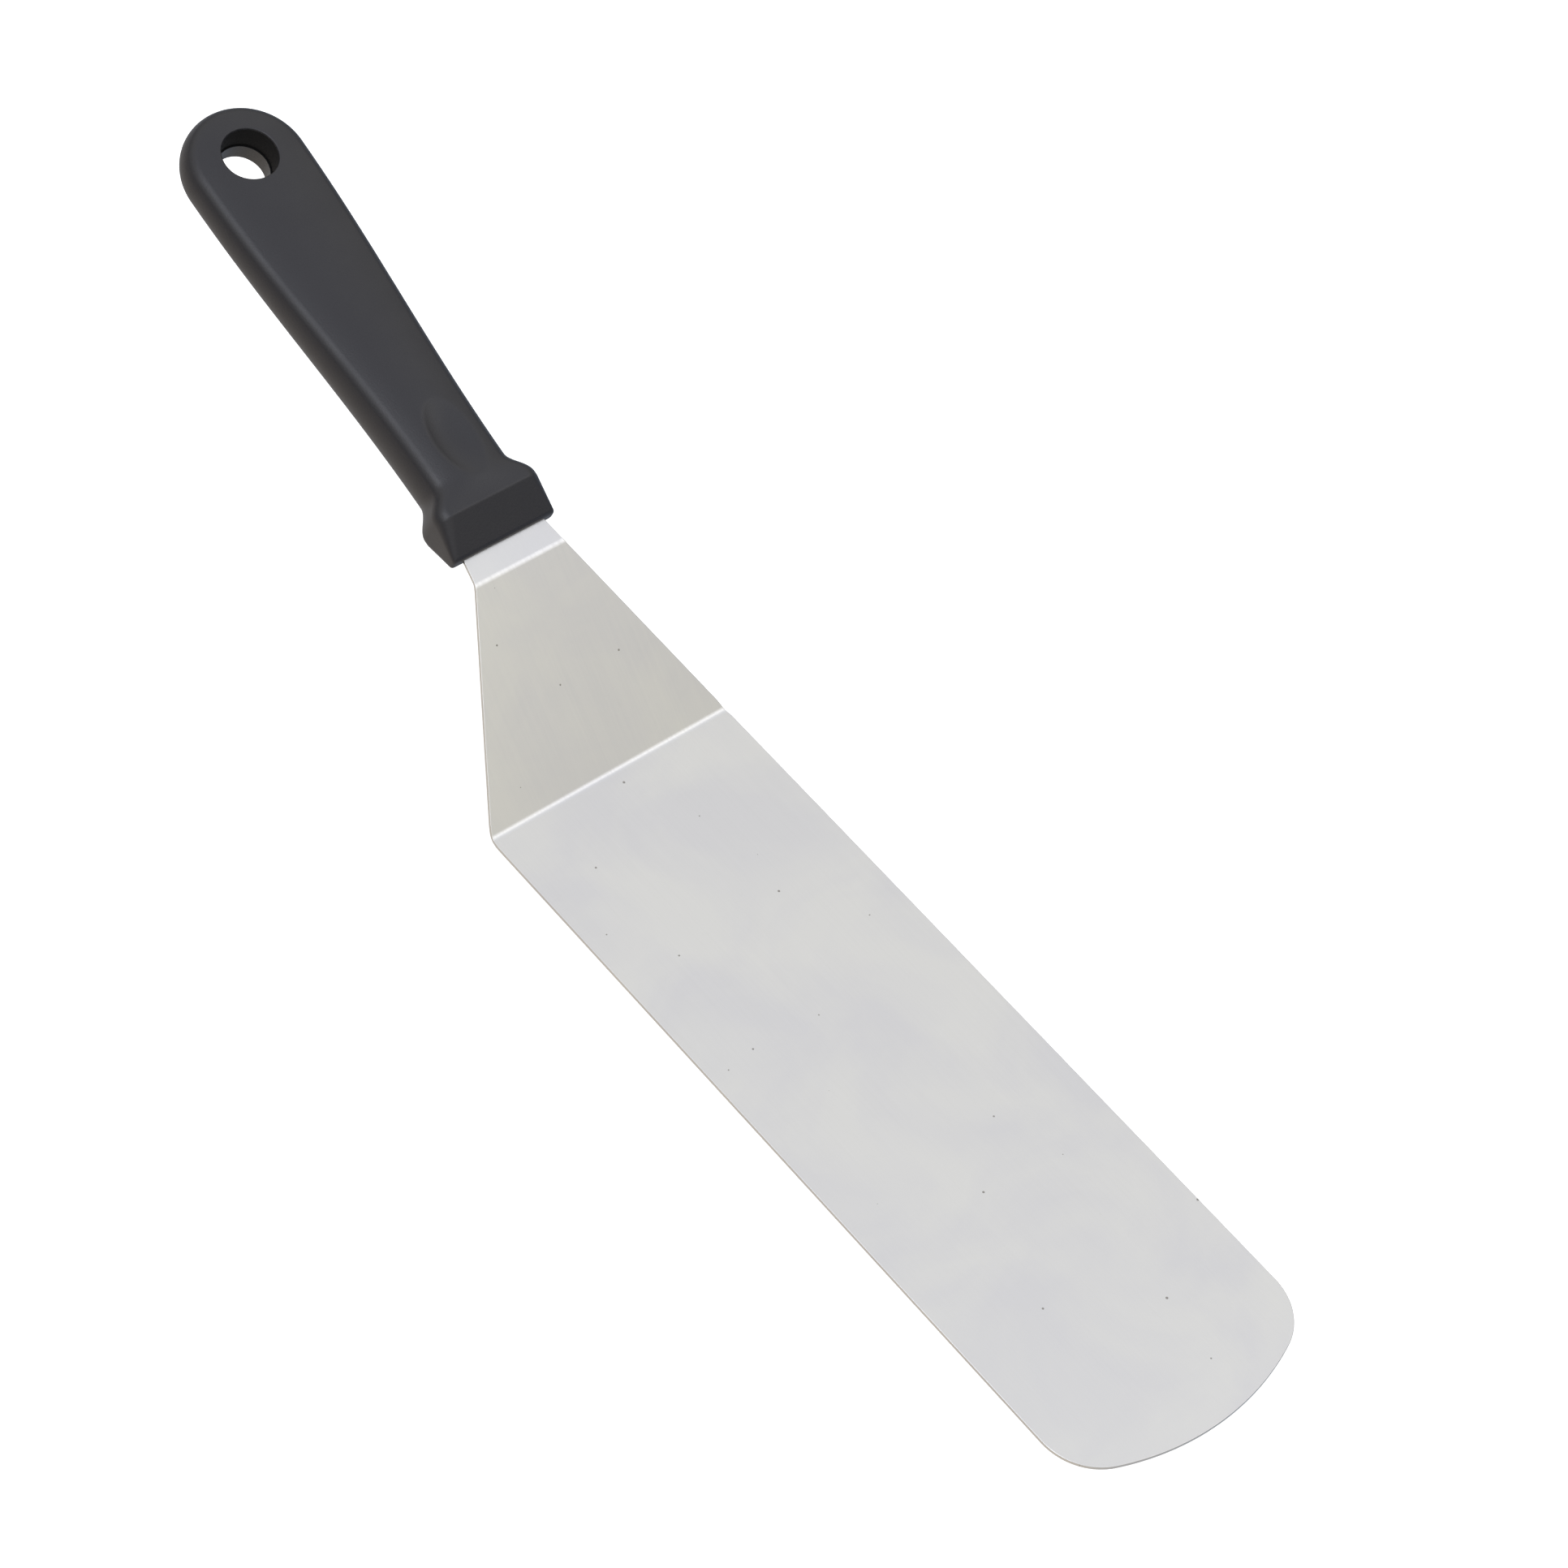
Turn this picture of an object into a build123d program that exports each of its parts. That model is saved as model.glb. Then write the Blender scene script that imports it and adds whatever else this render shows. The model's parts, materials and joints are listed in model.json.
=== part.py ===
from build123d import *
import os
from math import cos, pi, radians, sin, sqrt

# Offset spatula: one bent stainless sheet with a plastic handle moulded round its tang.
# Millimetres. +X runs towards the blade's tip, +Z is up, and the blade rests on z = 0.
# The origin is on the flat underside, below the middle of the blade.
# A station is a distance along the handle's axis, from its front lip towards its tail.

# ---- sheet ----
sheet_thickness = 1.0
inner_bend_radius = 1.4

# ---- blade ----
blade_length = 228.0         # heel bend to tip
blade_width = 76.0
tip_arc_radius = 72.0        # the shallow curve across the front
tip_corner_radius = 16.4
heel_corner_radius = 12.0    # where the blade's sides turn into the riser

# ---- riser and neck ----
riser_run = 43.4             # along X
riser_rise = 39.1
neck_slope = 16.9            # degrees above level; the handle keeps the same slope
neck_length = 7.2            # upper bend to the handle's lip
neck_front_width = 28.0      # at the upper bend
neck_rear_width = 25.5       # at the handle's lip
neck_corner_radius = 9.0

# ---- tang, hidden in the handle ----
tang_width = 13.0
tang_shoulder_length = 8.0   # full neck width kept inside the bolster
tang_corner_radius = 2.0
tang_end_radius = 4.0
tang_hole_radius = 3.0
tang_hole_count = 3
first_tang_hole = 30.0       # station
last_hole_margin = 16.0      # from the last hole to the tang's end

# ---- handle core, the first moulding ----
core_side_wall = 2.4         # plastic beside the tang
core_end_wall = 4.0          # plastic past the tang's end
core_to_hole_wall = 16.8     # solid grip between the core and the hanging hole
core_half_thickness = 4.4
core_corner_radius = 2.0

# ---- handle grip, moulded over the core ----
handle_length = 134.4
lip_side_wall = 3.25         # plastic beside the neck at the lip
lip_wall = 1.6               # plastic over and under the sheet at the lip
lip_corner_radius = 1.2
lip_edge_round = 0.8         # rounds the front face's rim
ridge_station = 9.5          # the sharp ridge across the bolster
bolster_taper = 0.2          # how much narrower each side is at the ridge
ridge_half_thickness = 8.3
ridge_corner_radius = 4.2
bolster_crown = 0.15         # how far the bolster's faces bulge
shoulder_length = 1.2        # the bolster's full size kept behind the ridge
flare_length = 7.9           # shoulder back to the waist
waist_half_width = 12.7
waist_half_thickness = 8.8
waist_corner_radius = 4.7
tail_half_width = 17.2
tail_half_thickness = 7.5
tail_corner_radius = 4.0
grip_crown = 2.0             # how far the grip's top and underside bulge
grip_side_crown = 2.4        # how far its sides bulge
flare_sections = 5
grip_sections = 6

# ---- thumb dimple ----
dimple_station = 27.5
dimple_half_length = 11.5
dimple_half_width = 6.0
dimple_side = 1.0            # its middle, to the right of the handle's
dimple_depth = 1.8
dimple_roundness = 4.0       # vertical half-axis of the ellipsoid that cuts it

# ---- hanging hole ----
hole_from_tail_end = 16.2    # centre to the tail's end
hole_entry_radius = 7.4      # upper stretch
hole_ledge_width = 0.4       # the lower stretch is this much smaller in radius
hole_ledge_level = -1.3      # from the handle's middle plane
hole_rim_chamfer = 0.5
hole_rim_sink = 0.25         # lower than the tail's crown, because its faces bulge

# ---- places that follow from the sizes ----
slope = radians(neck_slope)
tip_setback = tip_arc_radius - sqrt(tip_arc_radius**2 - (blade_width / 2) ** 2)
heel_x = -(blade_length - tip_setback) / 2
tip_x = heel_x + blade_length
shoulder_station = ridge_station + shoulder_length
waist_station = shoulder_station + flare_length
tail_station = handle_length - tail_half_width
lip_half_width = neck_rear_width / 2 + lip_side_wall
lip_half_thickness = sheet_thickness / 2 + lip_wall
ridge_half_width = lip_half_width - bolster_taper
hole_station = handle_length - hole_from_tail_end
hole_throat_radius = hole_entry_radius - hole_ledge_width
core_end = hole_station - hole_entry_radius - core_to_hole_wall
tang_length = core_end - core_end_wall
core_start = tang_shoulder_length + (neck_rear_width - tang_width) / 2
last_tang_hole = tang_length - last_hole_margin
tang_hole_pitch = (last_tang_hole - first_tang_hole) / (tang_hole_count - 1)

along_handle = Vector(-cos(slope), 0, sin(slope))
handle_up = Vector(sin(slope), 0, cos(slope))
upper_bend = Vector(heel_x - riser_run, 0, sheet_thickness + riser_rise)
lip_centre = upper_bend + along_handle * neck_length - handle_up * (sheet_thickness / 2)
handle_frame = Plane(origin=lip_centre, x_dir=along_handle, z_dir=handle_up)


def sheet_profile():
    """Side view of the bent sheet, from the tip to the tang's end."""
    top_end = upper_bend + along_handle * (neck_length + tang_length)
    top_line = FilletPolyline(
        (tip_x, sheet_thickness),
        (heel_x, sheet_thickness),
        (upper_bend.X, upper_bend.Z),
        (top_end.X, top_end.Z),
        radius=[inner_bend_radius, inner_bend_radius + sheet_thickness],
    )
    band = offset(top_line, amount=sheet_thickness, side=Side.LEFT, closed=True)
    return Plane.XZ * make_face(band.edges())


def station_x(station):
    """Where a station on the tang lies along X."""
    return (lip_centre + along_handle * station).X


def is_at(corner, x, y):
    """Whether a corner of the outline lies at this place, on either side."""
    return abs(corner.X - x) < 0.01 and abs(abs(corner.Y) - y) < 0.01


def blade_outline():
    """The sheet's outline from above, with every corner rounded."""
    half_blade = blade_width / 2
    half_front = neck_front_width / 2
    half_rear = neck_rear_width / 2
    half_tang = tang_width / 2
    side = [
        (tip_x - tip_setback, half_blade),
        (heel_x, half_blade),
        (upper_bend.X, half_front),
        (station_x(0), half_rear),
        (station_x(tang_shoulder_length), half_rear),
        (station_x(core_start), half_tang),
        (station_x(tang_length), half_tang),
    ]
    far_side = [(x, -y) for x, y in reversed(side)]
    front = ThreePointArc(far_side[-1], (tip_x, 0), side[0])
    outline = make_face([Polyline(side + far_side), front])
    radii = [tip_corner_radius, heel_corner_radius, neck_corner_radius, None,
             tang_corner_radius, tang_corner_radius, tang_end_radius]
    for (x, y), radius in zip(side, radii):
        if radius:
            corners = [v for v in outline.vertices() if is_at(v, x, y)]
            outline = fillet(corners, radius)
    return outline


def tang_holes():
    """The drills for the tang's locking holes, square to the tang."""
    drill = Cylinder(tang_hole_radius, 6 * sheet_thickness)
    stations = [first_tang_hole + i * tang_hole_pitch for i in range(tang_hole_count)]
    return [handle_frame * Pos(station, 0, 0) * drill for station in stations]


def make_blade():
    """Blade, riser, neck and tang: one stamped sheet, bent twice."""
    strip = extrude(sheet_profile(), blade_width, both=True)
    blank = extrude(blade_outline(), handle_length + riser_rise, both=True)
    return (strip & blank) - tang_holes()


def handle_section(station, half_width, half_thickness, corner_radius, crown, side_crown):
    """A cross-section of the handle: a rounded rectangle with bulging sides."""
    x = half_width - side_crown
    y = half_thickness - crown
    sides = [
        ThreePointArc((x, y), (0, half_thickness), (-x, y)),
        ThreePointArc((-x, y), (-half_width, 0), (-x, -y)),
        ThreePointArc((-x, -y), (0, -half_thickness), (x, -y)),
        ThreePointArc((x, -y), (half_width, 0), (x, y)),
    ]
    outline = make_face(sides)
    plane = Plane(origin=(station, 0, 0), x_dir=(0, 1, 0), z_dir=(1, 0, 0))
    return plane * fillet(outline.vertices(), corner_radius)


def ease(share):
    """A smooth step from 0 to 1."""
    return 0.5 - 0.5 * cos(pi * share)


def blended_sections(start, end, count):
    """Sections from one set of sizes to another, easing at both ends."""
    sections = []
    for i in range(count):
        share = i / (count - 1)
        station = start[0] + (end[0] - start[0]) * share
        sizes = [a + (b - a) * ease(share) for a, b in zip(start[1:], end[1:])]
        sections.append(handle_section(station, *sizes))
    return sections


def handle_outside():
    """The grip's outer form: wedge, flare, grip and round tail."""
    flat = (bolster_crown, bolster_crown)
    full = (grip_crown, grip_side_crown)
    lip = (0, lip_half_width, lip_half_thickness, lip_corner_radius, *flat)
    bolster_sizes = (ridge_half_width, ridge_half_thickness, ridge_corner_radius, *flat)
    ridge = (ridge_station, *bolster_sizes)
    shoulder = (shoulder_station, *bolster_sizes)
    waist = (waist_station, waist_half_width, waist_half_thickness, waist_corner_radius, *full)
    tail = (tail_station, tail_half_width, tail_half_thickness, tail_corner_radius, *full)
    wedge = loft([handle_section(*lip), handle_section(*ridge)], ruled=True)
    wedge = fillet(wedge.faces().sort_by(Axis.X)[0].edges(), lip_edge_round)
    collar = extrude(handle_section(*ridge), shoulder_length)
    flare = loft(blended_sections(shoulder, waist, flare_sections))
    grip = loft(blended_sections(waist, tail, grip_sections))
    tail_half = split(handle_section(*tail), bisect_by=Plane.XZ, keep=Keep.BOTTOM)
    tail_round = revolve(tail_half, axis=Axis((tail_station, 0, 0), (0, 0, -1)), revolution_arc=180)
    return wedge + collar + flare + grip + tail_round


def dimple_cutter():
    """An ellipsoid that leaves a shallow oval thumb rest in the top face."""
    reach = sqrt(1 - (1 - dimple_depth / dimple_roundness) ** 2)
    ball = scale(Sphere(1), by=(dimple_half_length / reach, dimple_half_width / reach, dimple_roundness))
    height = waist_half_thickness - dimple_depth + dimple_roundness
    return Pos(dimple_station, dimple_side, height) * ball


def hole_cutter():
    """The hanging hole: a wide stretch above a narrower one, with chamfered rims."""
    depth = 2 * tail_half_thickness
    up = (Align.CENTER, Align.CENTER, Align.MIN)
    down = (Align.CENTER, Align.CENTER, Align.MAX)
    entry = Cylinder(hole_entry_radius, depth, align=up)
    throat = Cylinder(hole_throat_radius, depth, align=down)
    spread = 2 * hole_rim_chamfer
    rim = tail_half_thickness - hole_rim_chamfer - hole_rim_sink
    top_cone = Cone(hole_entry_radius, hole_entry_radius + spread, spread, align=up)
    bottom_cone = Cone(hole_throat_radius + spread, hole_throat_radius, spread, align=down)
    bore = Pos(0, 0, hole_ledge_level) * (entry + throat)
    cutter = bore + Pos(0, 0, rim) * top_cone + Pos(0, 0, -rim) * bottom_cone
    return Pos(hole_station, 0, 0) * cutter


def core_block():
    """The core's outer form, a rounded bar round the tang."""
    length = core_end - core_start
    width = tang_width + 2 * core_side_wall
    bar = Box(length, width, 2 * core_half_thickness, align=(Align.MIN, Align.CENTER, Align.CENTER))
    bar = fillet(bar.edges().filter_by(Axis.X), core_corner_radius)
    return handle_frame * Pos(core_start, 0, 0) * bar


def make_handle_core(blade):
    """First moulding: the bar with the tang's space taken out and pegs left in its holes."""
    return core_block() - blade


def make_handle_grip(blade):
    """Second moulding: the outside less the core, the sheet, the dimple and the hole."""
    outside = handle_outside() - dimple_cutter() - hole_cutter()
    return handle_frame * outside - core_block() - blade


blade = make_blade()
pieces = {
    "blade": blade,
    "handle_core": make_handle_core(blade),
    "handle_grip": make_handle_grip(blade),
}

os.makedirs("parts", exist_ok=True)
for name, piece in pieces.items():
    export_step(piece, f"parts/{name}.step")
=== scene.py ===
"""Offset spatula: a bent stainless sheet with a moulded plastic handle.

The sheet is cut flat, deburred and then bent. The grip is skinned over sections along its axis.
Lengths are metres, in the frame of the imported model: +X towards the blade's tip, +Z up.
A station is a distance along the handle's axis, from its front lip towards its tail.
"""

import json
import math

import bmesh
import bpy
from bpy.props import FloatProperty, FloatVectorProperty, IntProperty, PointerProperty
from mathutils import Matrix, Quaternion, Vector


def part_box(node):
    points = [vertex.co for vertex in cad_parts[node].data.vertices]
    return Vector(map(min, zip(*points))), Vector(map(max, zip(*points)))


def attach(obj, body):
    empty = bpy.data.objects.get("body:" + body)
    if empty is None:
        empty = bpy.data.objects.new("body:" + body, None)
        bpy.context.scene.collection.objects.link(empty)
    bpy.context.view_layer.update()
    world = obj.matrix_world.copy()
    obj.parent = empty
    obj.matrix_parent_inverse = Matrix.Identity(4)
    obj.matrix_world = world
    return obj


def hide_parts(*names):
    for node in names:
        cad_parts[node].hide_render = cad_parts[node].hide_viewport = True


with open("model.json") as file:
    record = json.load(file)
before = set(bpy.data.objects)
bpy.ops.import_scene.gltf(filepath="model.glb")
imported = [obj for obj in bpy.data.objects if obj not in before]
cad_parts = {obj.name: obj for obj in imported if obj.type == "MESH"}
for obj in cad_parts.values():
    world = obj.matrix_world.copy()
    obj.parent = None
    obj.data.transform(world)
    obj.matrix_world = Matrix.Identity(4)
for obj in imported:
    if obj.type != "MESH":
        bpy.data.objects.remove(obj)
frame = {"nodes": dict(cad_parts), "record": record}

bl_info = {
    "name": "Offset Spatula",
    "version": (1, 0, 0),
    "blender": (4, 5, 0),
    "location": "3D View > Sidebar > Spatula",
    "description": "Builds an offset spatula, its materials and a studio round it",
    "category": "Object",
}

MM = 0.001
CLOSE = 0.01 * MM  # points nearer than this count as being in one place
WELD = 0.001 * MM  # points nearer than this are joined
NOISE_RANGE = {"From Min": 0.3, "From Max": 0.7}  # where nearly all of a noise's values lie

blade_low, blade_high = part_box("blade")
grip_low, grip_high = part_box("handle_grip")
mounts = {mount["name"]: mount for mount in frame["record"]["mounts"]}
throat = mounts["hang_hole"]
hole_axis = Vector(throat["axis"])


# ---- settings ----


def linear(hex_colour):
    """Linear RGBA from an sRGB hex value."""
    shares = [int(hex_colour[i:i + 2], 16) / 255 for i in (1, 3, 5)]
    curve = [s / 12.92 if s <= 0.04045 else ((s + 0.055) / 1.055) ** 2.4 for s in shares]
    return (*curve, 1.0)


def distance(name, description, default):
    """A length that a user can set."""
    return FloatProperty(name=name, description=description, default=default, unit="LENGTH", precision=5)


def angle(name, description, degrees):
    """An angle that a user can set."""
    default = math.radians(degrees)
    return FloatProperty(name=name, description=description, default=default, unit="ROTATION")


def amount(name, description, default):
    """A plain number that a user can set."""
    return FloatProperty(name=name, description=description, default=default, precision=3)


def colour(name, description, hex_colour):
    """A colour that a user can set."""
    return FloatVectorProperty(
        name=name, description=description, default=linear(hex_colour), subtype="COLOR",
        size=4, min=0.0, max=1.0,
    )


def position(name, description, default):
    """A point that a user can set."""
    return FloatVectorProperty(
        name=name, description=description, default=default, subtype="TRANSLATION", unit="LENGTH",
    )


class SheetSettings(bpy.types.PropertyGroup):
    """Sizes of the bent sheet, and the look of its steel."""

    thickness: distance("Thickness", "Of the sheet", 1.0 * MM)
    edge_round: distance("Edge round", "Radius left on the edges by tumbling", 0.3 * MM)
    bend_radius: distance("Bend radius", "On the inside of each bend", 2.8 * MM)
    blade_length: distance("Blade length", "Heel bend to tip", 228.0 * MM)
    blade_width: distance("Blade width", "Across the flat blade", blade_high.y - blade_low.y)
    tip_arc_radius: distance("Tip arc", "Radius of the curve across the front", 72.0 * MM)
    tip_corner_radius: distance("Tip corners", "Radius of the two front corners", 16.4 * MM)
    heel_corner_radius: distance("Heel corners", "Where the sides turn into the riser", 12.0 * MM)
    riser_run: distance("Riser run", "Length of the riser along X", 43.4 * MM)
    riser_rise: distance("Riser rise", "Height of the riser", 39.1 * MM)
    neck_length: distance("Neck length", "Upper bend to the handle's lip", 7.2 * MM)
    neck_front_width: distance("Neck front", "Width at the upper bend", 28.0 * MM)
    neck_rear_width: distance("Neck rear", "Width at the handle's lip", 25.5 * MM)
    neck_corner_radius: distance("Neck corners", "Where the riser's sides turn into the neck", 9.0 * MM)
    shoulder_length: distance("Tang shoulder", "Full neck width inside the handle", 8.0 * MM)
    tang_width: distance("Tang width", "Of the hidden tang", 13.0 * MM)
    tang_length: distance("Tang length", "From the handle's lip", 90.0 * MM)
    tang_corner_radius: distance("Tang corners", "At the shoulder", 2.0 * MM)
    tang_end_radius: distance("Tang end", "Corners of the tang's end", 4.0 * MM)
    tang_hole_radius: distance("Tang holes", "Radius of the locking holes", 3.0 * MM)
    first_hole: distance("First tang hole", "Its station", 30.0 * MM)
    hole_pitch: distance("Tang hole pitch", "Between the locking holes", 22.0 * MM)
    hole_count: IntProperty(name="Tang hole count", description="Locking holes", default=3, min=0)
    steel: colour("Steel", "Where the sheet is clean", "#CBCBC9")
    bloom: colour("Bloom", "The faint clouding left by washing", "#C6C6C7")
    speck: colour("Speck", "Tiny pits in the surface", "#8C8A86")
    speck_spacing: distance("Speck spacing", "Between places where a pit may be", 16.0 * MM)
    speck_radius: distance("Speck radius", "Of the largest pits", 0.35 * MM)
    grain_width: distance("Grain width", "Across one brushed streak", 0.5 * MM)
    grain_length: distance("Grain length", "Along one brushed streak", 45.0 * MM)
    cloud_size: distance("Cloud size", "Across one patch of bloom", 38.0 * MM)


class GripSettings(bpy.types.PropertyGroup):
    """Sizes of the handle, and the look of its plastic."""

    length: distance("Length", "Lip to tail", 134.4 * MM)
    lip_half_width: distance("Lip half width", "At the front face", 16.0 * MM)
    lip_half_thickness: distance("Lip half thickness", "At the front face", 2.1 * MM)
    lip_corner_radius: distance("Lip corners", "Of the front face", 1.2 * MM)
    lip_round: distance("Lip round", "Round of the front rim", 0.8 * MM)
    ridge_station: distance("Ridge station", "Of the ridge across the bolster", 9.5 * MM)
    ridge_half_width: distance("Ridge half width", "Of the bolster", 15.8 * MM)
    ridge_half_thickness: distance("Ridge half thickness", "Of the bolster", 8.3 * MM)
    ridge_corner_radius: distance("Ridge corners", "Of the bolster", 4.2 * MM)
    ridge_softness: distance("Ridge softness", "Half the width of the ridge's round", 0.35 * MM)
    bolster_crown: distance("Bolster crown", "Bulge of the bolster's faces", 0.15 * MM)
    shoulder_length: distance("Shoulder", "Full size kept behind the ridge", 1.2 * MM)
    flare_length: distance("Flare", "Shoulder back to the waist", 7.9 * MM)
    waist_half_width: distance("Waist half width", "At the narrowest place", 12.7 * MM)
    waist_half_thickness: distance("Waist half thickness", "At the narrowest place", 8.8 * MM)
    waist_corner_radius: distance("Waist corners", "Rolled edges at the waist", 4.7 * MM)
    tail_half_width: distance(
        "Tail half width", "Radius of the round tail", (grip_high.y - grip_low.y) / 2)
    tail_half_thickness: distance("Tail half thickness", "At the tail", 7.5 * MM)
    tail_corner_radius: distance("Tail corners", "Rolled edges at the tail", 4.0 * MM)
    crown: distance("Crown", "Bulge of the grip's top and underside", 2.0 * MM)
    side_crown: distance("Side crown", "Bulge of the grip's sides", 2.4 * MM)
    dimple_station: distance("Dimple station", "Middle of the thumb dimple", 27.5 * MM)
    dimple_half_length: distance("Dimple half length", "Along the handle", 11.5 * MM)
    dimple_half_width: distance("Dimple half width", "Across the handle", 6.0 * MM)
    dimple_side: distance("Dimple side", "Its middle, to the right of the handle's", 1.0 * MM)
    dimple_depth: distance("Dimple depth", "At its middle", 1.8 * MM)
    dimple_lean: amount("Dimple lean", "Share of the depth gained at its left edge", 0.3)
    hole_entry_radius: distance("Hole entry", "Radius of the hole's upper stretch", 7.4 * MM)
    rim_round: distance("Hole rim", "Round of the hanging hole's rims", 0.5 * MM)
    core_half_width: distance("Core half width", "Space for the core", 8.9 * MM)
    core_half_thickness: distance("Core half thickness", "Space for the core", 4.4 * MM)
    core_end: distance("Core end", "Station where the core stops", 94.0 * MM)
    plastic: colour("Plastic", "Of the moulded grip", "#16161D")
    scuff: colour("Scuff", "Where the grip is rubbed", "#19191F")
    lint: colour("Lint", "Tiny light specks of dust", "#6E6E72")
    lint_spacing: distance("Lint spacing", "Between places where a speck may be", 9.0 * MM)
    lint_radius: distance("Lint radius", "Of the largest specks", 0.3 * MM)
    grit_size: distance("Mould grit", "Across one bump of the matt texture", 0.45 * MM)
    scuff_size: distance("Scuff size", "Across one rubbed patch", 14.0 * MM)
    # Painted shade: a darker plastic colour for the hanging hole's upper wall, standing in for the shade
    # inside the hole.
    painted_bore_shade: colour("Bore", "Of the plastic in the hanging hole's upper stretch", "#0C0C0E")


class StageSettings(bpy.types.PropertyGroup):
    """The floor, the room, the lights and the camera."""

    floor_size: distance("Floor size", "Across the floor", 12.0)
    floor_drop: distance("Floor drop", "Gap under the blade, so that the faces don't meet", 0.05 * MM)
    floor: colour("Floor", "Opal white acrylic", "#FBFBFB")
    floor_glow: amount("Floor glow", "Light that comes through the table top", 0.35)
    room: amount("Room", "Brightness of the whole room", 1.42)
    ceiling: colour("Ceiling", "High up, all round", "#ECEDF3")
    ceiling_middle: colour("Ceiling middle", "Straight overhead, between the lamps", "#B9BABF")
    walls: colour("Walls", "Halfway up", "#E4E1D8")
    skirting: colour("Skirting", "Just above the horizon", "#363638")
    near_ground: colour("Near ground", "Below the horizon, towards -Y", "#D6CCC0")
    far_ground: colour("Far ground", "Below the horizon, towards +Y", "#9CA4B0")
    key_power: amount("Key power", "Of the large light, above and to the right, in watts", 6.0)
    key_size: distance("Key size", "Across the large light", 0.8)
    key_place: position("Key place", "Middle of the large light", (0.0, -0.65, 1.25))
    key_tint: colour("Key tint", "Of the large light", "#F2F6FF")
    top_power: amount("Top power", "Of the small light, above and beyond the tip, in watts", 1.0)
    top_size: distance("Top size", "Across the small light", 0.6)
    top_place: position("Top place", "Middle of the small light", (0.33, 0.62, 1.05))
    top_tint: colour("Top tint", "Of the small light", "#FFFFFF")
    azimuth: angle("Azimuth", "Of the camera; 0 looks along +Y", 39.8)
    elevation: angle("Elevation", "Of the camera above the horizon", 51.18)
    roll: angle("Roll", "Of the camera, anticlockwise", 13.11)
    camera_distance: distance("Camera distance", "From the aim point", 1134.3 * MM)
    lens: amount("Lens", "Focal length in millimetres, on a 36 mm sensor", 102.63)
    aim: position("Aim", "Point on the floor that the camera looks at", (-82.0 * MM, 35.5 * MM, 0.0))


# ---- helpers ----


def add_node(tree, kind, inputs=None, **settings):
    """Adds one node. Each input takes a value, or a socket to link from."""
    node = tree.nodes.new(kind)
    for name, value in settings.items():
        setattr(node, name, value)
    for name, value in (inputs or {}).items():
        if isinstance(value, bpy.types.NodeSocket):
            tree.links.new(value, node.inputs[name])
        else:
            node.inputs[name].default_value = value
    return node


def new_material(name):
    """An empty material, its node tree and its output."""
    material = bpy.data.materials.new(name)
    material.use_nodes = True
    material.node_tree.nodes.clear()
    return material, material.node_tree, add_node(material.node_tree, "ShaderNodeOutputMaterial")


def new_piece(name, shape, material):
    """Turns a bmesh into a smooth-shaded object with one material."""
    mesh = bpy.data.meshes.new(name)
    shape.to_mesh(mesh)
    shape.free()
    mesh.shade_smooth()
    piece = bpy.data.objects.new(name, mesh)
    if material:
        mesh.materials.append(material)
    bpy.context.scene.collection.objects.link(piece)
    return piece


def apply_modifiers(piece):
    """Replaces the piece's mesh with the result of its modifiers."""
    bpy.context.view_layer.update()
    evaluated = piece.evaluated_get(bpy.context.evaluated_depsgraph_get())
    piece.data = bpy.data.meshes.new_from_object(evaluated)
    piece.modifiers.clear()


def cut_away(piece, cutter):
    """Takes the cutter's volume out of the piece, and deletes the cutter."""
    cut = piece.modifiers.new("cut", "BOOLEAN")
    cut.operation = "DIFFERENCE"
    cut.solver = "EXACT"
    cut.object = cutter
    apply_modifiers(piece)
    bpy.data.objects.remove(cutter)


def even_normals(piece, sharp_degrees):
    """Shades flat faces flat and lets small rounds carry the turn between them."""
    piece.data.set_sharp_from_angle(angle=math.radians(sharp_degrees))
    weighted = piece.modifiers.new("even_normals", "WEIGHTED_NORMAL")
    weighted.keep_sharp = True
    weighted.weight = 100


def left_of(heading):
    """The direction to the left of a 2D heading."""
    return Vector((-heading.y, heading.x))


def rounded_path(corners, radii, steps):
    """A 2D polyline with its inner corners rounded, as a list of (point, heading)."""
    points = [Vector(corner) for corner in corners]
    path = [(points[0], (points[1] - points[0]).normalized())]
    for before, corner, after, radius in zip(points, points[1:], points[2:], radii):
        way_in = (corner - before).normalized()
        way_out = (after - corner).normalized()
        turn = math.atan2(way_in.cross(way_out), way_in.dot(way_out))
        side = math.copysign(radius, turn)
        start = corner - way_in * radius * math.tan(abs(turn) / 2)
        centre = start + left_of(way_in) * side
        for step in range(steps + 1):
            heading = Matrix.Rotation(turn * step / steps, 2) @ way_in
            path.append((centre - left_of(heading) * side, heading))
    path.append((points[-1], (points[-1] - points[-2]).normalized()))
    return path


# ---- the handle's own frame ----


def upper_bend(sheet):
    """The corner of the sheet's top line at the upper bend, as (x, z)."""
    heel_x = blade_high.x - sheet.blade_length
    return Vector((heel_x - sheet.riser_run, sheet.thickness + sheet.riser_rise))


def handle_matrix(sheet):
    """From (station, y, height) in the handle's own frame to the model's frame."""
    up = hole_axis.normalized()
    along = Vector((-up.z, 0, up.x))
    bend = upper_bend(sheet)
    lip = Vector((bend.x, 0, bend.y)) + along * sheet.neck_length - up * (sheet.thickness / 2)
    matrix = Matrix((along, Vector((0, 1, 0)), up)).transposed().to_4x4()
    matrix.translation = lip
    return matrix


# ---- blade ----


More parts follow.
